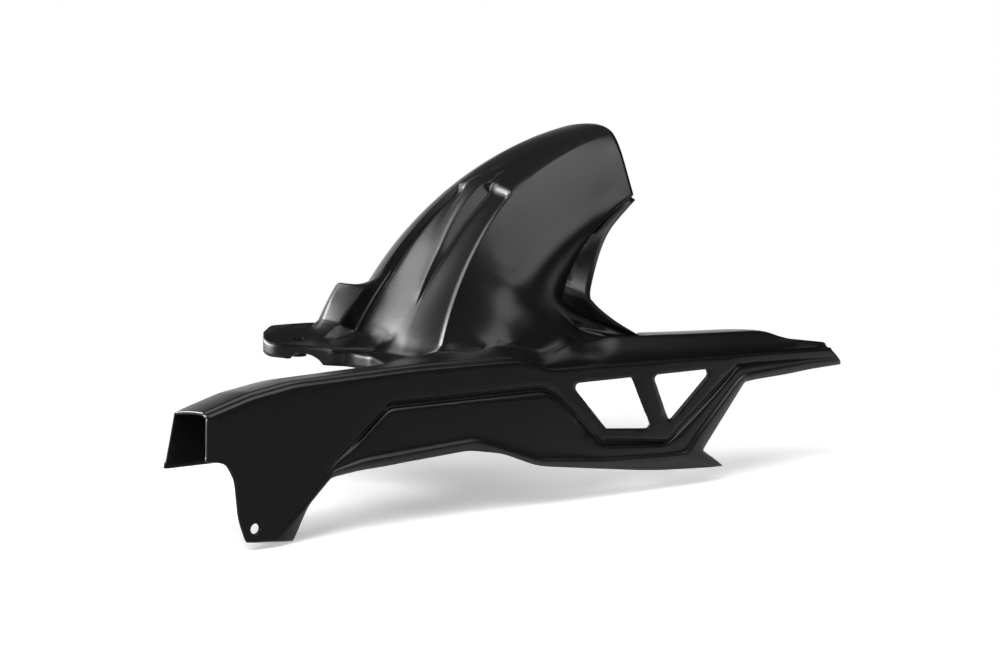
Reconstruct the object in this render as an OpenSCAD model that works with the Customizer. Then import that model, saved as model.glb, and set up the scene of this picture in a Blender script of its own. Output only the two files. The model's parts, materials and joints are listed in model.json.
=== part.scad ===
// Rear hugger mudguard with a built-in chain guard, moulded in one piece.
// X runs to the rear, Y away from the chain side and Z up; the front tab's bolt hole is at the origin.

/* [Shell] */
// Wall thickness of the moulded shell
wall = 3; // [2.5:0.1:3.5]

/* [Wheel arch] */
// Wheel axle, distance behind the front tab hole
axle_x = 524; // [515:1:535]
// Length over all, taken up behind the windows
guard_l = 707; // [690:1:730]
// Wheel axle, distance below the front tab hole
axle_drop = 2; // [0:1:8]
// Centre plane of the arch, distance from the chain guard's outer wall
arch_y = 130; // [125:1:135]
// Outer radius of the arch about the axle, half way round
arch_r = 338; // [330:1:344]
// Growth of that radius for each degree towards the front
arch_r_rate = 0.37; // [0.3:0.01:0.45]
// Half-width of the arch, half way round
arch_half_w = 102; // [96:1:106]
// Depth from the crown to the place where the side walls stand upright
crown_depth = 54; // [48:1:60]
// Squareness of the arch section, 2 being an ellipse
crown_power = 2.3; // [2:0.1:2.6]
// Angle from the top of the wheel to the rear lip
lip_angle = 14; // [11:1:17]
// Angle by which the lip's corners lie further forward
lip_sweep = 7.5; // [4:0.5:9]
// Angle at which the arch meets the front plate
base_angle = 67; // [66:0.5:68]

/* [Front recess] */
// Depth of the recess at its foot
recess_depth = 9; // [5:0.5:11]
// Angle at which the recess ends at the top
recess_top = 37.8; // [36.6:0.2:39]
// Extra depth of the recess along its far side
recess_tilt = 3; // [1:0.5:5]
// Half-width of the recess at 50 degrees
recess_half_w = 61; // [56:1:64]
// Growth of that half-width for each degree towards the front
recess_rate = 1.1; // [0.9:0.05:1.15]
// Height of the arrow-shaped ridge above the plain surface, at the recess's top
ridge_h = 1.8; // [1:0.1:3]
// Angle of the arrow's tip above the recess
arrow_tip = 31.5; // [30.5:0.5:33]
// Angle of the arrow's foot on the recess floor
arrow_foot = 61; // [60:0.5:62]
// Height of the square shoulder on the far side of the recess
hip_h = 9; // [5:0.5:10]

/* [Chain guard] */
// Width of the trough over the chain
trough_w = 60; // [56:1:64]
// Depth of the pressed side panel
panel_depth = 2.8; // [2:0.1:3.4]
// Width of the inward flange along the bottom
flange_w = 14; // [10:1:18]
// Height of the upper straight of the swage line
swage_high = 93.5; // [92:0.5:96]
// Height of the lower straight of the swage line
swage_low = 35; // [33:1:38]

/* [Windows] */
// Top edge of both windows
window_top = 91; // [88:0.5:92]
// Bottom edge of the windows
window_bottom = 45; // [43:0.5:50]
// Corner radius of the windows
window_r = 4; // [2:0.5:6]

/* [Mounting holes] */
// Bolt hole in the front tab
tab_bore = 9; // [7:0.5:10]
// Bolt hole in the front plate
plate_bore = 8; // [6:0.5:9]
// Bush under the front plate, outside diameter
bush_d = 15; // [13:0.5:18]
// Bush under the front plate, length
bush_l = 13; // [10:1:16]
// Front plate hole, distance ahead of the arch's foot
plate_hole_lead = 42.9; // [37:0.1:47]
// Front plate hole, distance beyond the arch's centre plane
plate_hole_y = 82; // [78:1:86]

// Opening in the plate's skirt, width
notch_w = 34; // [24:1:36]
// Opening in the plate's skirt, distance from the chain guard's outer wall
notch_y = 180; // [176:1:184]

/* [Hidden] */
axle = [axle_x, arch_y, -axle_drop];
seam_angle = 50;
tail_x = 500;
tail_scale = (guard_l - 51 - tail_x) / (656 - tail_x);
plate_foot = axle_x - arch_r * sin(base_angle);
plate_z = arch_r * cos(base_angle) - axle_drop - 12.07;

function mix(a, b, t) = a + (b - a) * t;
function clamp(x) = min(1, max(0, x));
function ease(x) = let (t = clamp(x)) t * t * (3 - 2 * t);
function sum(v, n, i = 0) = i >= n ? 0 : v[i][0] + sum(v, n, i + 1);

// Heights and widths along the chain guard, by distance behind the tab hole
top_line = [[-43, 96], [0, 108], [41, 114.5], [161, 118], [268, 117], [297, 107], [500, 102], [640, 99]];
roof_line = [
    [-43, 98], [0, 110.5], [41, 117], [161, 121], [258, 121], [272, 118], [297, 112], [318, 118],
    [348, 130], [394, 127], [480, 123], [566, 120], [588, 111], [640, 104]
];
seam_width = [[-43, 0.97], [150, 0.97], [205, 0.5], [240, 0.3], [421, 0.3], [440, 0.93], [640, 0.93]];
seam_rise = [[-43, -6], [150, -6], [205, 6], [235, 12], [262, 11], [297, 9], [330, 2], [348, -1], [421, -2], [640, -3]];

// Stations of the chain guard: steps to the next one, then the top edge, the swage,
// the panel's lower crease and the flange's edge, how far the panel is pressed, the roof's inner edge
stations = [
    [2, -43, [-43.5, 63], [-44, 61.5], [-44, 60], 0, 0, -41],
    [2, -28, [-25, 60], [-25, 58.5], [-25, 57], 0, 0, -28],
    [3, -18, [-14.5, 46], [-15.7, 44], [-17, 42], 0, 0, -18],
    [2, -6, [-11, 12], [-12.5, 10.5], [-14, 9], 0, 0, -6],
    [2, 6, [-4, -6.5], [-5.5, -9], [-7, -11], 0, 0, 6],
    [3, 20, [17, -9], [18.5, -12], [44, -18], 1, 0, 20],
    [3, 36, [44, 15.5], [48, 12], [60, 12], 1, 0.2, 36],
    [3, 62, [70, 43], [77, 39], [80, 31], 1, 0.6, 62],
    [3, 100, [101, 68], [104, 43], [108, 34], 1, 1, 100],
    [2, 132, [132, swage_high], [133, 44.5], [137, 35], 1, 1, 132],
    [6, 150, [150, swage_high], [150, 45.5], [152, 36], 1, 1, 150],
    [3, 221, [221, swage_high], [221, 49], [222, 39.5], 1, 1, 221],
    [3, 258, [258, swage_high], [256, 36.5], [258, 33], 1, 1, 258],
    [2, 296, [296, swage_high], [291, 24], [292, 19.5], 1, 1, 296],
    [4, 309, [309, 88], [303, 23], [305, 16.5], 1, 1, 309],
    [5, 356, [362, swage_low + 4], [360, 17], [362, 8.5], 1, 1, 356],
    [2, 421, [417.7, swage_low - 2], [410, 15], [413, 1.5], 1, 1, 421],
    [1, 440, [434, swage_low - 4.5], [436, 14], [446, -2], 1, 1, 440],
    [1, 452, [446, 40], [460, 13], [517, -6], 1, 1, 452],
    [4, 462, [456, 47.5], [470, 25], [485, 9], 0.9, 1, 462],
    [2, 519, [519, swage_high], [526, 80], [536, 73.5], 0.6, 1, 519],
    [3, 541, [541, swage_high], [546, 82], [548, 75], 0.5, 1, 541],
    [3, 581, [581, 92.5], [585, 84.5], [587, 77], 0.4, 0.6, 581],
    [2, 612, [614, 92], [616, 86.5], [618, 79.5], 0.35, 0.2, 606],
    [0, 640, [648, 90], [652, 85.5], [656, 81], 0.3, 0, 618]
];
first_seam = sum(stations, 10);
last_seam = sum(stations, 16);
inner_end = first_seam;

function station(k, t) = let (a = stations[k], b = stations[k + 1]) [for (i = [1:7]) mix(a[i], b[i], t)];
t_stations = concat(
    [for (k = [0:len(stations) - 2]) for (s = [0:stations[k][0] - 1]) station(k, s / stations[k][0])],
    [station(len(stations) - 2, 1)]
);

function at(p, y) = [p[0], y, p[1]];

// One station of the chain guard, from the flange's edge up the wall and over the roof
function guard_row(s) =
    let (
        x = s[0], sw = s[1], low = s[2], edge = s[3], press = s[5] * panel_depth,
        zt = lookup(x, top_line), zr = lookup(x, roof_line),
        ys = trough_w * lookup(s[6], seam_width), zs = zr + lookup(x, seam_rise),
        near = lookup(x, [[290, 8], [350, 15], [565, 15], [600, 8]]), h = clamp((zr - zt) / 14), span = s[6] - x,
        run = norm(low - sw), dir = (low - sw) / run, top = [x, zt - 1.6]
    )
    [
        at(edge, s[4] * flange_w),
        at(mix(edge, low, 0.6), s[4] * flange_w * 0.25 + 0.3),
        at(low, press * 0.25),
        at(mix(low, sw, min(0.16, 4.5 / run)), press * 0.95),
        at(mix(low, sw, 0.5), press * 0.7),
        at(sw + dir * min(8, run * 0.35), press * 0.95),
        at(sw + dir * min(4.5, run * 0.24), press * 1.5),
        at(sw + dir * min(1.2, run * 0.12), press * 0.55),
        at(sw, 0),
        at(mix(sw, top, 0.1), 0),
        at(mix(sw, top, 0.55), 0),
        at(top, 0),
        [x, 1.4, zt],
        [x + span * 0.04, 4.4, zt + 0.5 - h],
        [x + span * 0.07, mix(5.6, near, 0.15), mix(zt, zr, 0.3)],
        [x + span * 0.12, near - 1.6, zr - 1],
        [x + span * 0.15, near, zr],
        [x + span * 0.4, mix(near, ys, 0.35), zr + 0.3 + (zs - zr) * 0.2],
        [x + span * 0.75, mix(near, ys, 0.75), zr - 0.2 + (zs - zr) * 0.55],
        [s[6], ys, zs]
    ];

// The inner wall of the trough's mouth, below the roof's far edge
function inner_row(s) =
    let (x = s[6], zs = lookup(x, roof_line) - 6, foot = mix(46, 76, ease((x - 20) / 130)))
    [for (v = [0.12, 0.5, 1]) [x - 10 * v * clamp(-x / 43), trough_w + 1.5 * v, mix(zs, foot, v)]];

guard = [for (s = t_stations) guard_row(s)];
nt = len(guard);
mt = len(guard[0]);
inner = [for (i = [0:inner_end]) inner_row(t_stations[i])];

// The wheel arch: a point at an angle from the top of the wheel and a place u across it
function radius_at(phi) = arch_r + arch_r_rate * (phi - 45);
function half_w_at(phi) = arch_half_w + 0.31 * (phi - 45);
function recess_at(phi) = (recess_half_w + recess_rate * (phi - 50)) / half_w_at(phi);
far_rim = [[37, 0.37], [57, 0.47], [61, 0.54], [68, 0.66]];
function far_edge(phi) = lookup(max(phi, recess_top), far_rim);
function in_recess(phi) = ease(phi - recess_top);
function floor_depth(phi) = in_recess(phi) * mix(4.5, recess_depth, clamp((phi - recess_top) / (base_angle - recess_top)));
function drop(u, power) = 1 - pow(1 - pow(min(abs(u), 1), power), 1 / power);
function arch_point(phi, u, lower, power) =
    let (
        sweep = lip_sweep * u * u * clamp((seam_angle - phi) / (seam_angle - lip_angle)),
        f = phi + sweep, r = radius_at(phi) - crown_depth * drop(u, power) - lower
    )
    [axle[0] - r * sin(f), arch_y + u * half_w_at(phi), axle[2] + r * cos(f)];

// The crown's near end, where it goes over into the flared wall
function near_point(phi) = arch_point(phi, -1.04, -3, crown_power);

// Keeps the crown's near side from sinking below the guard's roof beside it
function lift(p, foot) = [p[0], p[1], max(p[2], foot[2] - 1)];

// Lines of the arrow by angle: foot, lip, gully, right and left edge of its top, far foot
arrow_lines = [
    [14, -0.36, -0.28, -0.2, -0.1, 0.06, 0.2], [31.5, -0.17, -0.15, -0.13, -0.105, -0.055, -0.03],
    [37.8, -0.19, -0.16, -0.13, -0.07, 0.19, 0.24], [40.5, -0.23, -0.195, -0.16, -0.065, 0.12, 0.28],
    [45, -0.235, -0.21, -0.18, -0.1, 0, 0.22], [51.6, -0.275, -0.25, -0.23, -0.19, -0.15, 0.07],
    [61, -0.26, -0.245, -0.23, -0.215, -0.195, -0.17], [67, -0.28, -0.24, -0.2, -0.16, -0.1, 0]
];
function line(phi, i) = lookup(phi, [for (r = arrow_lines) [r[0], r[i]]]);

// Places across the arch, each with its depth below or height above the plain surface
function across(phi) =
    let (
        e = recess_at(max(phi, recess_top)), g = far_edge(phi), d = floor_depth(phi),
        far = d + in_recess(phi) * recess_tilt * clamp((phi - 50) / 17),
        along = clamp((phi - recess_top) / (arrow_foot - recess_top)), fade = in_recess(phi) * sqrt(1 - along),
        r = phi < recess_top ? -ridge_h * ease((phi - arrow_tip) / 4) : mix(-ridge_h, d, pow(along, 1.4)),
        f1 = line(phi, 1), f6 = line(phi, 6)
    )
    [
        [-0.975, 0], [-0.93, 0], [-0.83, 0], [-mix(e, 0.83, 0.5), 0], [-e - 0.03, 0], [-e, 0],
        [-e + 0.065, d], [mix(-e, f1, 0.6), d], [f1, d], [line(phi, 2), d - 1.3 * fade],
        [line(phi, 3), d + 1.8 * fade], [line(phi, 4), r], [mix(line(phi, 4), line(phi, 5), 0.5), r - 0.3 * fade],
        [line(phi, 5), r], [f6, d], [mix(g, f6, 0.5), mix(d, far, 0.45)], [g - 0.035, far],
        [g, 0], [g + 0.03, 0], [mix(g, 0.83, 0.5), 0], [0.83, 0], [0.93, 0], [0.985, 0]
    ];

// The free rear edge of the near wall, from its foot on the roof up to the lip,
// and the crease in front of it where the wall turns outward
rear_edge = [
    [407.6, 18, 126], [385.2, 17.5, 139.4], [365, 16.5, 152.8], [356.4, 16, 161], [355.2, 16, 168.2],
    [359.1, 16.5, 182.4], [365.5, 18, 198.4], [377.5, 22, 222.4], [397.6, 28, 234.9], [423.5, 34.5, 248.5]
];
rear_crease = [
    [348.3, 38, 144.5], [344.5, 38, 152.6], [341.8, 37, 160], [341.1, 35.5, 167.2], [342.2, 34, 176.5],
    [346.2, 33, 186.9], [352.6, 32.5, 199.1], [365.3, 33, 213.1], [386.9, 35.5, 232.2], [420.2, 36, 250.4]
];
crease_foot = [361, 29, 126];

function wall_rows(top, crease, foot, bend) = concat(
    [foot, crease],
    [for (v = [0.75, 0.5, 0.25]) let (q = mix(top, crease, v)) [q[0], mix(top[1], crease[1], pow(v, bend)), q[2]]]
);

function arch_row(phi, crease, foot, bend) =
    let (
        hip = ease((phi - 59.2) / 1.6), near = lift(near_point(phi), foot), edge = far_edge(phi) - 0.001,
        far = arch_point(phi, 1, 0, crown_power), deep = mix(24, 60, ease((phi - 30) / 20)),
        f = phi + lip_sweep * clamp((seam_angle - phi) / (seam_angle - lip_angle))
    )
    concat(
        wall_rows(near, crease, foot, bend),
        [near],
        [
            for (a = across(phi))
            let (high = a[0] > edge ? hip : 0, rise = hip_h * clamp((a[0] - edge) / 0.25))
            let (p = arch_point(phi, a[0], a[1] - rise * high, mix(crown_power, 7, high))) a[0] < -0.82 ? lift(p, foot) : p
        ],
        [far],
        [for (v = [0.35, 0.7, 1]) far + [sin(f), 0, -cos(f)] * deep * v]
    );

joined = last_seam - first_seam;
base = 7;
free_angles = concat(
    [for (i = [0:5]) mix(seam_angle, recess_top + 1, i / 5)], [for (i = [0:4]) mix(recess_top, arrow_tip, i / 4)],
    [for (i = [1:5]) mix(arrow_tip, lip_angle, i / 5)]
);
free = len(free_angles) - 1;
function arch_angle(k) = k <= joined
    ? mix(base_angle, seam_angle, (k - base) / (joined - base)) : free_angles[k - joined];
function along(rows, k) =
    let (
        last = len(rows) - 1, q = last * (seam_angle - arch_angle(k)) / (seam_angle - lip_angle),
        i = min(floor(q), last - 1)
    )
    mix(rows[i], rows[i + 1], q - i);
function foot_at(k) = k <= joined ? guard[first_seam + k][mt - 1] : along(rear_edge, k);
turn = sum(stations, 15) - first_seam;
function crease_at(k) =
    let (foot = foot_at(k), near = near_point(arch_angle(k)), q = mix(near, foot, 0.82))
    k >= joined ? along(rear_crease, k) :
    k >= turn ? mix(crease_foot, rear_crease[0], (k - turn) / (joined - turn)) :
    mix([q[0], mix(near[1], foot[1], 0.6), q[2]], crease_foot, pow((k - base) / (turn - base), 6));
arch = [for (k = [base:joined + free]) arch_row(arch_angle(k), crease_at(k), foot_at(k), k < turn ? 2 : 1)];
ma = len(arch[0]);

// The front plate, from its skirt back to the arch's foot, by distance across: how far its edge
// lies ahead of the foot, the edge's height from plate_z, and the skirt's height
front_lead = [
    [40, 54.9], [58, 49.9], [75, 36.9], [120, 22.9], [150, 28.9], [158, 40.9], [180, 58.9],
    [205, 73.9], [220, 74.9], [230, 70.9], [237, 56.9]
];
front_z = [[40, -5], [75, -6], [140, -4.5], [156, -2], [164, 0], [185, 2], [213, 2], [228, 7], [237, 14]];
skirt_h = [[58, 0], [75, 8], [150, 14], [165, 16], [200, 13], [237, 14]];
function plate_y(j) = let (b = arch[0][j]) j < 6 ? mix(foot_at(0)[1], 72, j / 6) : mix(72, 238, clamp((j - 6) / (ma - 10)));
function plate_row(k) = [
    for (j = [0:ma - 1])
    let (
        y = plate_y(j), b = arch[0][j], side = max(0, j - (ma - 4)),
        rim = [plate_foot - lookup(y, front_lead) + side * 2, y, plate_z + lookup(y, front_z) - side * 5],
        skirt = lookup(y, skirt_h) - side * 3.8,
        t = (k - 1) / (base - 1), s = ease(t)
    )
    j == 0 ? foot_at(k) :
    k == 0 ? rim - [side * 1.4, 0, skirt] :
    [mix(rim[0], b[0], t), mix(rim[1], b[1], t), mix(rim[2], b[2], pow(t, 5))]
];
arch_rows = concat([for (k = [0:base - 1]) plate_row(k)], arch);
na = len(arch_rows);

// Joins both grids into one sheet and gives it its thickness
t0 = 0;
a0 = nt * mt;
i0 = a0 + na * ma;
mi = 3;
total = i0 + (inner_end + 1) * mi;
function gv(i, j) = t0 + i * mt + j;
function av(k, j) = j == 0 && k <= joined ? gv(first_seam + k, mt - 1) : a0 + k * ma + j;
function iv(i, j) = j == 0 ? gv(i, mt - 1) : i0 + i * mi + j - 1;
drawn = concat([for (r = guard) for (p = r) p], [for (r = arch_rows) for (p = r) p], [for (r = inner) for (p = r) p]);
outer = [for (p = drawn) p[0] < tail_x ? p : [tail_x + (p[0] - tail_x) * tail_scale, p[1], p[2]]];

function unit(v) = let (n = norm(v)) n < 1e-6 ? [0, 0, 1] : v / n;
function normal_in(rows, i, j) =
    let (
        n = len(rows), m = len(rows[0]),
        di = rows[min(n - 1, i + 1)][j] - rows[max(0, i - 1)][j],
        a = rows[i][min(m - 1, j + 1)] - rows[i][j], b = rows[i][j] - rows[i][max(0, j - 1)],
        na = norm(a) < 1e-6 ? [0, 0, 0] : unit(cross(di, a)), nb = norm(b) < 1e-6 ? [0, 0, 0] : unit(cross(di, b))
    )
    unit(na + nb);
function thick(rows) = [
    for (i = [0:len(rows) - 1]) for (j = [0:len(rows[0]) - 1]) rows[i][j] - normal_in(rows, i, j) * wall
];
inner_full = [for (i = [0:inner_end]) concat([guard[i][mt - 2], guard[i][mt - 1]], inner[i])];
inside = concat(
    thick(guard), thick(arch_rows),
    [for (i = [0:inner_end]) for (j = [2:4]) inner_full[i][j] - normal_in(inner_full, i, j) * wall]
);

function quad(a, b, c, d) = [[a, c, b], [a, d, c]];
function flip(f) = [f[2] + total, f[1] + total, f[0] + total];
skin = concat(
    [for (i = [0:nt - 2]) for (j = [0:mt - 2]) each quad(gv(i, j), gv(i + 1, j), gv(i + 1, j + 1), gv(i, j + 1))],
    [for (k = [0:na - 2]) for (j = [0:ma - 2]) each quad(av(k, j), av(k + 1, j), av(k + 1, j + 1), av(k, j + 1))],
    [for (i = [0:inner_end - 1]) for (j = [0:mi - 1]) each quad(iv(i, j), iv(i + 1, j), iv(i + 1, j + 1), iv(i, j + 1))]
);
function strip(path) = [
    for (i = [0:len(path) - 2])
    each [[path[i], path[i + 1], path[i] + total], [path[i + 1], path[i + 1] + total, path[i] + total]]
];
rim = concat(
    strip([for (i = [0:nt - 1]) gv(i, 0)]),
    strip([for (j = [0:mt - 1]) gv(nt - 1, j)]),
    strip([for (i = [nt - 1:-1:last_seam]) gv(i, mt - 1)]),
    strip([for (k = [joined:na - 1]) av(k, 0)]),
    strip([for (j = [0:ma - 1]) av(na - 1, j)]),
    strip([for (k = [na - 1:-1:0]) av(k, ma - 1)]),
    strip([for (j = [ma - 1:-1:0]) av(0, j)]),
    strip([for (j = [0:mi]) iv(inner_end, j)]),
    strip([for (i = [inner_end:-1:0]) iv(i, mi)]),
    strip([for (j = [mi:-1:0]) iv(0, j)]),
    strip([for (j = [mt - 1:-1:0]) gv(0, j)])
);

module sheet() {
    polyhedron(concat(outer, inside), concat(skin, [for (f = skin) flip(f)], rim), convexity = 20);
}

module window(points) {
    translate([0, 20, 0])
        rotate([90, 0, 0])
            linear_extrude(40)
                offset(window_r, $fn = 24) offset(-window_r) polygon(points);
}

module plate_bush() {
    translate([plate_foot - plate_hole_lead, arch_y + plate_hole_y, plate_z - bush_l]) children();
}

// The opening in the skirt that gives a tool its way to the bush
module skirt_notch() {
    translate([plate_foot - 93, notch_y, plate_z - 6 - notch_w / 2])
        rotate([90, 0, 90])
            linear_extrude(60) union() {
                circle(d = notch_w, $fn = 48);
                translate([-notch_w / 2, -notch_w]) square([notch_w, notch_w]);
            }
}

module mudguard() {
    color("#1c1c1e")
        difference() {
            union() {
                sheet();
                plate_bush() cylinder(h = bush_l + 1.6, d = bush_d, $fn = 48);
            }
            window([[323, window_top], [393, window_top], [417, window_bottom - 3], [363, window_bottom + 2]]);
            window([[417, window_top], [490, window_top], [437, window_bottom + 1]]);
            rotate([90, 0, 0]) cylinder(h = 20, d = tab_bore, center = true, $fn = 48);
            skirt_notch();
            plate_bush() translate([0, 0, -5]) cylinder(h = bush_l + 20, d = plate_bore, $fn = 48);
        }
}

mudguard();
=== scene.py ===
import bpy
import bmesh
import json
import math
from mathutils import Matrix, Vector

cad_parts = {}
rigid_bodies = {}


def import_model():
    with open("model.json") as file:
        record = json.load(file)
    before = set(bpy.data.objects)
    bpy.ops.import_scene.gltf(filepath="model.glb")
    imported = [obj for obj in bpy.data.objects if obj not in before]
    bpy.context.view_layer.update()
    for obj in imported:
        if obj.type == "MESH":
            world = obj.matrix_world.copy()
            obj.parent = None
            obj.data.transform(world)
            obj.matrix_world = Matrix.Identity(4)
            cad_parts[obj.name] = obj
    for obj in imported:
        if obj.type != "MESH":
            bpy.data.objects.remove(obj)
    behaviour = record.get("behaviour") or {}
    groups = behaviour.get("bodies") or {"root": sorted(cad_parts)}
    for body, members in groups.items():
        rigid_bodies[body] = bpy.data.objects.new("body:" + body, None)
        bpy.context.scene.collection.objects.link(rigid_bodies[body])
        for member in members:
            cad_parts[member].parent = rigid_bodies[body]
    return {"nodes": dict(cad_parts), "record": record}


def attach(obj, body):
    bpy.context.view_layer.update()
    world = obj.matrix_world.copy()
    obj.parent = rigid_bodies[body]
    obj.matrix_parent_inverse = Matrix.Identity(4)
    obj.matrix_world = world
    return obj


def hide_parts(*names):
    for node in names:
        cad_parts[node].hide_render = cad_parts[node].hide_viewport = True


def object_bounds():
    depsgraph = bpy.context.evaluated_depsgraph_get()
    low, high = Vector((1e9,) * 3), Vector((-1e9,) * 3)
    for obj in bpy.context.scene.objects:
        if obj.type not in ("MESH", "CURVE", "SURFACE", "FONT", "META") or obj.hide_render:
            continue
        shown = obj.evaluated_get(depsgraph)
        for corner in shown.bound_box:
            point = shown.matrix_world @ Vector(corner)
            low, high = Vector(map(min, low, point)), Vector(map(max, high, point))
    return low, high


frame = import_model()
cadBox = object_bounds()
print("frame:", len(frame["nodes"]), "node, box", cadBox)


def deselectAll():
    for thing in bpy.data.objects:
        thing.select_set(False)


def activate(thing):
    deselectAll()
    thing.select_set(True)
    bpy.context.view_layer.objects.active = thing


# adds an object for some data to the scene
def addObject(name, data):
    thing = bpy.data.objects.new(name, data)
    bpy.context.scene.collection.objects.link(thing)
    return thing


def applyModifier(thing, kind, **settings):
    activate(thing)
    modifier = thing.modifiers.new(kind.title(), kind)
    for name, value in settings.items():
        setattr(modifier, name, value)
    bpy.ops.object.modifier_apply(modifier=modifier.name)


# a socket that can be added, multiplied and so on
class Signal:
    def __init__(self, maker, socket):
        self.maker = maker
        self.socket = socket

    def combine(self, operation, first, second):
        return self.maker.node("ShaderNodeMath", {"operation": operation}, {0: first, 1: second})

    def __add__(self, other):
        return self.combine("ADD", self, other)

    def __radd__(self, other):
        return self.combine("ADD", other, self)

    def __sub__(self, other):
        return self.combine("SUBTRACT", self, other)

    def __rsub__(self, other):
        return self.combine("SUBTRACT", other, self)

    def __mul__(self, other):
        return self.combine("MULTIPLY", self, other)

    def __rmul__(self, other):
        return self.combine("MULTIPLY", other, self)


# the nodes of one material, or of the world, which all come from node()
class Maker:
    def __init__(self, owner):
        owner.use_nodes = True
        self.nodes = owner.node_tree.nodes
        self.links = owner.node_tree.links
        self.nodes.clear()

    def node(self, kind, settings=None, inputs=None, output=0):
        made = self.nodes.new(kind)
        for name, value in (settings or {}).items():
            setattr(made, name, value)
        for name, value in (inputs or {}).items():
            if isinstance(value, Signal):
                self.links.new(value.socket, made.inputs[name])
            else:
                made.inputs[name].default_value = value
        return Signal(self, made.outputs[output]) if made.outputs else None

    def noise(self, place, size, detail, falloff):
        return self.node("ShaderNodeTexNoise", {"noise_dimensions": "3D"}, {
            "Vector": place, "Scale": 1 / size, "Detail": detail, "Roughness": falloff})

    # goes smoothly from start to end while the value goes from low to high
    def ease(self, value, low, high, start, end):
        return self.node("ShaderNodeMapRange", {"interpolation_type": "SMOOTHSTEP"}, {
            0: value, 1: low, 2: high, 3: start, 4: end})

    def mixColours(self, factor, first, second):
        return self.node("ShaderNodeMix", {"data_type": "RGBA"}, {
            0: factor, 6: first, 7: second}, output=2)

    # how far a place lies towards the wall behind the part
    def wallward(self, place):
        azimuth = math.radians(camera["azimuth"])
        return self.node("ShaderNodeVectorMath", {"operation": "DOT_PRODUCT"}, {
            0: place, 1: (math.sin(azimuth), math.cos(azimuth), 0)}, output=1)

    # one signal for each kind of ray: seen by the camera, mirrored in the part, lighting it
    def rays(self):
        path = self.node("ShaderNodeLightPath").socket.node.outputs
        mirrored = Signal(self, path["Is Glossy Ray"]) + Signal(self, path["Is Transmission Ray"])
        return Signal(self, path["Is Camera Ray"]), mirrored, Signal(self, path["Is Diffuse Ray"])


# satin black plastic with the fine grain of a textured mould, and duller inside the bores
plastic = {
    "colour": (0.0030, 0.0031, 0.0034, 1),
    "paleColour": (0.0044, 0.0045, 0.0049, 1),
    "roughness": 0.29,
    "specular": 0.5,
    "boreRoughness": 0.75,
    "boreSpecular": 0.04,
    # slow changes of colour and roughness over the surface
    "cloudSize": 0.09,
    "cloudDetail": 4.0,
    "cloudFalloff": 0.55,
    "cloudRoughness": 0.05,
    # the grain
    "grainSize": 0.0011,
    "grainDetail": 3.0,
    "grainFalloff": 0.6,
    "grainRoughness": 0.08,
    "grainHeight": 0.00006,
    "grainStrength": 0.35,
}


def makePlastic(name, meanRoughness, specular):
    material = bpy.data.materials.new(name)
    m = Maker(material)
    place = m.node("ShaderNodeTexCoord", output=3)
    grain = m.noise(place, plastic["grainSize"], plastic["grainDetail"], plastic["grainFalloff"])
    cloud = m.noise(place, plastic["cloudSize"], plastic["cloudDetail"], plastic["cloudFalloff"])
    roughness = (meanRoughness + (cloud - 0.5) * plastic["cloudRoughness"]
                 + (grain - 0.5) * plastic["grainRoughness"])
    bump = m.node("ShaderNodeBump", {}, {
        "Strength": plastic["grainStrength"], "Distance": plastic["grainHeight"],
        "Height": grain})
    shader = m.node("ShaderNodeBsdfPrincipled", {}, {
        "Base Color": m.mixColours(cloud, plastic["colour"], plastic["paleColour"]),
        "Roughness": roughness, "Normal": bump, "Specular IOR Level": specular})
    m.node("ShaderNodeOutputMaterial", {}, {"Surface": shader})
    return material


# the shell: a smooth skin grown from the frame's own moulding, in metres and degrees
shell = {
    "mergeGap": 0.00003,
    "quadBend": 60,
    "quadSkew": 75,
    "smoothLevels": 2,
    "quickLevels": 1,
    # how much an edge bends before it is crisp: in crisp places, elsewhere, and as a real edge
    "sharpAngle": 20,
    "archAngle": 36,
    "edgeAngle": 60,
    "softCrease": 0.7,
    "edgeCrease": 0.85,
    # in Y: where the chain guard's outer wall ends, and where the far half of the arch begins
    "guardFace": 0.012,
    "farHalf": 0.08,
    # the short edges across the wall's thickness: their lengths, and their largest round bend
    "thickness": (0.0027, 0.0033),
    "thicknessBend": 80,
    # how far outside a bore's own radius and length its wall is still looked for
    "boreSpare": 0.0003,
    # how far a pass moves a point, and the boxes where points are evened:
    # name, low corner, high corner, passes, sharpest bend that is evened
    "evenStep": 0.5,
    "evened": [
        ("near wall", (0.2, 0.012, 0.133), (0.46, 0.08, 0.315), 12, 36),
        ("hollow of the near wall", (0.28, 0.02, 0.14), (0.40, 0.06, 0.26), 5, 70),
        ("wall's start on the roof", (0.217, 0.0143, 0.1262), (0.271, 0.045, 0.136), 10, 180),
        ("foot of the rear flange", (0.338, 0.0125, 0.1235), (0.374, 0.0375, 0.1315), 6, 180),
    ],
    # the groove round the pressed panel: its bends, its depth in Y, and how far it is sunk
    "grooveBends": (-80, -45),
    "grooveFloor": (0.0039, 0.0044),
    "grooveSink": (0, 0.0013, 0),
    # the line between the guard's edge and its roof, in the same way
    "ledgeBends": (-180, -60),
    "ledgeFloor": (0.0042, 0.0046),
    "ledgeLowest": 0.095,
    "ledgeSink": (0, 0.0004, -0.0018),
}

bores = [mount for mount in frame["record"]["mounts"] if mount["kind"] == "bore"]


# whether a point lies on the wall of one of the bores
def onBore(point):
    for bore in bores:
        axis = Vector(bore["axis"])
        offset = point - Vector(bore["pos_m"])
        along = offset.dot(axis)
        radius = bore["dims"]["r_mm"] / 1000 + shell["boreSpare"]
        length = bore["dims"]["length_mm"] / 1000 + shell["boreSpare"]
        if abs(along) < length and (offset - axis * along).length < radius:
            return True
    return False


# whether an edge lies between two values along one axis
def edgeWithin(edge, axis, low, high):
    return all(low < v.co[axis] < high for v in edge.verts)


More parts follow.
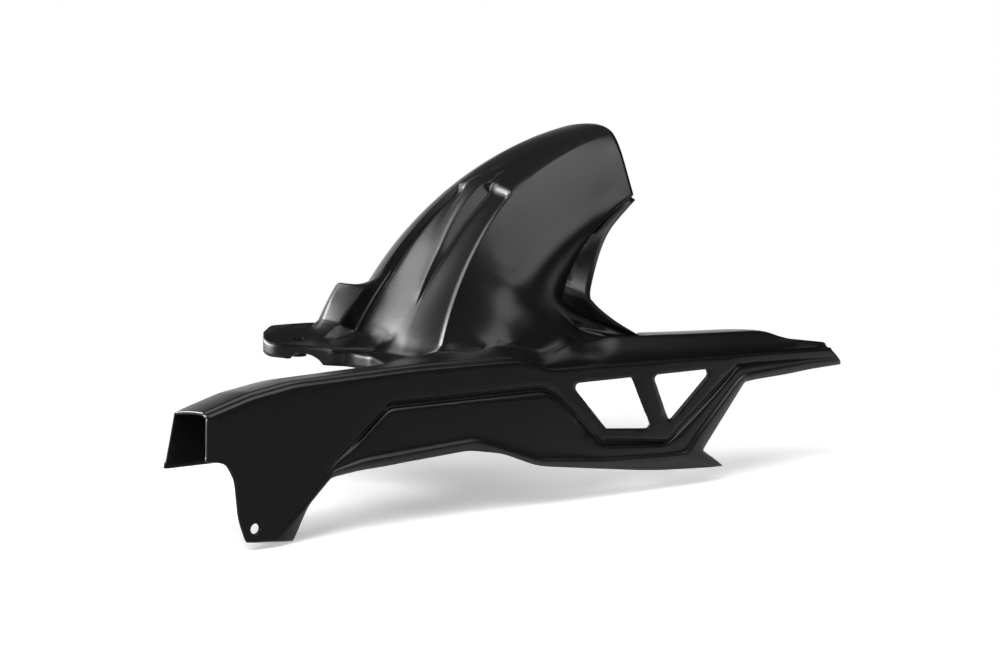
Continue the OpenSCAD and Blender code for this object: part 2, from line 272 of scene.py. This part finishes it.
# the outer wall of the chain guard and the far half of the arch, where every bend is crisp
def crispPlace(edge):
    return (edgeWithin(edge, 1, -math.inf, shell["guardFace"])
            or edgeWithin(edge, 1, shell["farHalf"], math.inf))


# merges the frame's loose triangles and joins them in pairs
def mergeFaces(piece):
    activate(piece)
    bpy.ops.object.mode_set(mode="EDIT")
    bpy.ops.mesh.select_all(action="SELECT")
    bpy.ops.mesh.remove_doubles(threshold=shell["mergeGap"])
    bpy.ops.object.mode_set(mode="OBJECT")
    # triangles stay round the bores, where a quad could reach across the hole
    bm = bmesh.new()
    bm.from_mesh(piece.data)
    for face in bm.faces:
        face.select = len({onBore(v.co) for v in face.verts}) == 1
    bm.to_mesh(piece.data)
    bm.free()
    bpy.ops.object.mode_set(mode="EDIT")
    bpy.ops.mesh.tris_convert_to_quads(
        face_threshold=math.radians(shell["quadBend"]),
        shape_threshold=math.radians(shell["quadSkew"]))
    bpy.ops.object.mode_set(mode="OBJECT")
    print("merged:", len(piece.data.polygons), "faces")


# evens the points inside a box, apart from those on edges sharper than a limit
def soften(piece, low, high, passes, limit):
    bm = bmesh.new()
    bm.from_mesh(piece.data)
    for v in bm.verts:
        inside = all(low[k] < v.co[k] < high[k] for k in range(3))
        bends = [math.degrees(edge.calc_face_angle(0)) for edge in v.link_edges]
        v.select = inside and all(bend < limit for bend in bends)
    bm.select_flush(False)
    bm.to_mesh(piece.data)
    bm.free()
    activate(piece)
    bpy.ops.object.mode_set(mode="EDIT")
    bpy.ops.mesh.vertices_smooth(factor=shell["evenStep"], repeat=passes)
    bpy.ops.object.mode_set(mode="OBJECT")


# moves some points of the piece together
def sink(piece, numbers, way):
    for vertex in piece.data.vertices:
        vertex.select = vertex.index in numbers
    activate(piece)
    bpy.ops.object.mode_set(mode="EDIT")
    bpy.ops.transform.translate(value=way)
    bpy.ops.object.mode_set(mode="OBJECT")


# creases the crisp edges, and finds the points of the two lines that are sunk later
def creaseEdges(piece):
    bm = bmesh.new()
    bm.from_mesh(piece.data)
    crease = bm.edges.layers.float.new("crease_edge")
    bm.verts.index_update()
    groove, ledge = set(), set()
    thin, thick = shell["thickness"]
    for edge in bm.edges:
        if len(edge.link_faces) != 2:
            continue
        bend = math.degrees(edge.calc_face_angle_signed(0))  # below zero in a hollow
        angle = abs(bend)
        ends = [onBore(v.co) for v in edge.verts]
        if any(ends):
            edge[crease] = 1.0 if all(ends) and angle > shell["edgeAngle"] else 0.0
            continue
        if thin < edge.calc_length() < thick and angle < shell["thicknessBend"]:
            continue  # stays round
        if angle > shell["edgeAngle"]:
            edge[crease] = shell["edgeCrease"]
        elif angle > shell["archAngle"] or (angle > shell["sharpAngle"] and crispPlace(edge)):
            edge[crease] = shell["softCrease"]
        low, high = shell["grooveBends"]
        if low < bend < high and edgeWithin(edge, 1, *shell["grooveFloor"]):
            edge[crease] = 1.0
            groove.update(v.index for v in edge.verts)
        low, high = shell["ledgeBends"]
        if (low < bend < high and edgeWithin(edge, 1, *shell["ledgeFloor"])
                and edgeWithin(edge, 2, shell["ledgeLowest"], math.inf)):
            edge[crease] = 1.0
            ledge.update(v.index for v in edge.verts)
    bm.to_mesh(piece.data)
    bm.free()
    print("creased:", len(groove), "groove points,", len(ledge), "ledge points")
    return groove, ledge


# the satin plastic all over, and the dull one inside the bores
def paintShell(piece):
    mesh = piece.data
    mesh.materials.clear()
    mesh.materials.append(makePlastic("satinPlastic", plastic["roughness"], plastic["specular"]))
    mesh.materials.append(
        makePlastic("borePlastic", plastic["boreRoughness"], plastic["boreSpecular"]))
    for face in mesh.polygons:
        if all(onBore(mesh.vertices[number].co) for number in face.vertices):
            face.material_index = 1
    print("materials:", ", ".join(material.name for material in mesh.materials))


def makeShell():
    piece = addObject("hugger", frame["nodes"]["mudguard"].data.copy())
    mergeFaces(piece)
    for name, low, high, passes, limit in shell["evened"]:
        soften(piece, low, high, passes, limit)
        print("evened:", name)
    groove, ledge = creaseEdges(piece)
    sink(piece, groove, shell["grooveSink"])
    sink(piece, ledge, shell["ledgeSink"])
    level = shell["smoothLevels"]
    applyModifier(piece, "SUBSURF", levels=level, render_levels=level)
    activate(piece)
    bpy.ops.object.shade_smooth()
    paintShell(piece)
    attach(piece, "root")
    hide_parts("mudguard")
    print("shell:", len(piece.data.polygons), "faces")


# the camera stands ahead of the part, on the chain side
camera = {
    "azimuth": 36.0,
    "elevation": 7.1,
    "distance": 2.038,
    "target": (0.24483, 0.0, 0.14168),
    "lens": 85.0,
    "sensor": 36,
    "farthest": 60,
}


# turns an object at its place so that it looks along a direction
def lookAlong(thing, direction):
    thing.rotation_euler = direction.to_track_quat("-Z", "Y").to_euler()


def makeCamera():
    azimuth, elevation = math.radians(camera["azimuth"]), math.radians(camera["elevation"])
    forward = Vector((math.sin(azimuth) * math.cos(elevation),
                      math.cos(azimuth) * math.cos(elevation), -math.sin(elevation)))
    thing = addObject("camera", bpy.data.cameras.new("camera"))
    thing.data.lens = camera["lens"]
    thing.data.sensor_width = camera["sensor"]
    thing.data.clip_end = camera["farthest"]
    thing.location = Vector(camera["target"]) - forward * camera["distance"]
    lookAlong(thing, forward)
    bpy.context.scene.camera = thing
    print("camera:", camera["distance"], "m from its target")


# a white floor and wall behind the part, a dark room on the camera's side, and soft boxes
studio = {
    "floorPlace": (0.3, 0.1),
    "floorSize": 14.0,
    "floorGap": 0.0005,
    "floorColour": (0.94, 0.94, 0.945, 1),
    "mirroredColour": (0.5, 0.5, 0.5, 1),
    "floorGlow": 0.42,
    "floorMirror": 0.08,
    "frontMirror": 0.24,
    # in front of this strip the mirrored floor is dark
    "frontStrip": (-0.24, 0.02),
    # over these distances the floor fades to white
    "fade": (0.55, 0.95),
    # the mirrored world is white towards the wall, and only near the horizon
    "wallTurn": (0.0, 0.75),
    "wallHeight": (0.05, 0.32),
    "wallTop": 0.05,
    "roomGlow": 0.01,
    "ambient": 0.08,
    "lamps": [
        # name, place, aim, width, height, power, seen by matte surfaces, seen in reflections
        ("keyBox", (-1.3, -1.0, 2.1), (0.3, 0.1, 0.0), 1.3, 1.3, 60, True, False),
        ("topBox", (0.4, -0.3, 1.9), (0.4, -0.3, 0.0), 1.3, 2.2, 18, True, True),
        ("backBox", (-0.45, 2.1, 1.4), (0.2, 0.1, 0.15), 1.4, 0.9, 13, False, True),
        ("leftBox", (-1.0, 1.6, 0.42), (0.1, 0.15, 0.12), 1.3, 0.85, 62, False, True),
        ("frontBox", (-1.5, -0.95, 0.6), (0.3, 0.1, 0.15), 0.6, 1.0, 11, True, True),
        ("highBox", (0.75, -1.55, 1.42), (0.3, 0.1, 0.12), 1.8, 1.0, 12, False, True),
    ],
}


def makeFloorWhite():
    material = bpy.data.materials.new("floorWhite")
    m = Maker(material)
    place = m.node("ShaderNodeTexCoord", output=3)
    watched, mirrored, _ = m.rays()
    behind = m.ease(m.wallward(place), *studio["frontStrip"], 0.0, 1.0)
    # the floor near the part keeps its shadow
    colour = m.mixColours(mirrored, studio["floorColour"], studio["mirroredColour"])
    matte = m.node("ShaderNodeBsdfDiffuse", {}, {"Color": colour})
    strength = watched * studio["floorGlow"] + mirrored * behind * studio["floorMirror"]
    glow = m.node("ShaderNodeEmission", {}, {"Strength": strength})
    near = m.node("ShaderNodeAddShader", {}, {0: matte, 1: glow})
    # farther out it turns into the white of the wall
    distance = m.node("ShaderNodeVectorMath", {"operation": "LENGTH"}, {0: place}, output=1)
    far = m.ease(distance, *studio["fade"], 0.0, 1.0)
    white = m.node("ShaderNodeEmission", {}, {"Strength": 1.0})
    surface = m.node("ShaderNodeMixShader", {}, {
        0: far * (watched + mirrored * behind), 1: near, 2: white})
    # reflections of the floor in front of the part are dark
    dark = m.node("ShaderNodeEmission", {}, {"Strength": studio["frontMirror"]})
    surface = m.node("ShaderNodeMixShader", {}, {
        0: mirrored * (1 - behind), 1: surface, 2: dark})
    m.node("ShaderNodeOutputMaterial", {}, {"Surface": surface})
    return material


def makeFloor():
    deselectAll()
    height = cadBox[0][2] - studio["floorGap"]
    bpy.ops.mesh.primitive_plane_add(
        size=studio["floorSize"], location=(*studio["floorPlace"], height))
    floor = bpy.context.object
    floor.name = "floor"
    floor.data.materials.append(makeFloorWhite())
    print("floor: at height", round(height, 4))


def makeWorld():
    world = bpy.data.worlds.new("studio")
    bpy.context.scene.world = world
    m = Maker(world)
    place = m.node("ShaderNodeTexCoord", output=0)
    watched, mirrored, lighting = m.rays()
    wall = m.ease(m.wallward(place), *studio["wallTurn"], studio["roomGlow"], 1.0)
    height = m.node("ShaderNodeSeparateXYZ", {}, {0: place}, output=2)
    low = m.ease(height, *studio["wallHeight"], 1.0, studio["wallTop"])
    strength = watched + mirrored * wall * low + lighting * studio["ambient"]
    glow = m.node("ShaderNodeBackground", {}, {"Color": (1, 1, 1, 1), "Strength": strength})
    m.node("ShaderNodeOutputWorld", {}, {"Surface": glow})
    print("world:", len(m.nodes), "nodes")


def makeLamps():
    for name, place, aim, width, height, power, matte, mirrored in studio["lamps"]:
        lamp = addObject(name, bpy.data.lights.new(name, "AREA"))
        lamp.data.shape = "RECTANGLE"
        lamp.data.size = width
        lamp.data.size_y = height
        lamp.data.energy = power
        lamp.location = place
        lookAlong(lamp, Vector(aim) - Vector(place))
        lamp.visible_camera = False
        lamp.visible_diffuse = matte
        lamp.visible_glossy = mirrored
    print("lamps:", len(studio["lamps"]))


makeShell()
makeCamera()
makeFloor()
makeWorld()
makeLamps()
bpy.context.scene.view_settings.view_transform = "Standard"
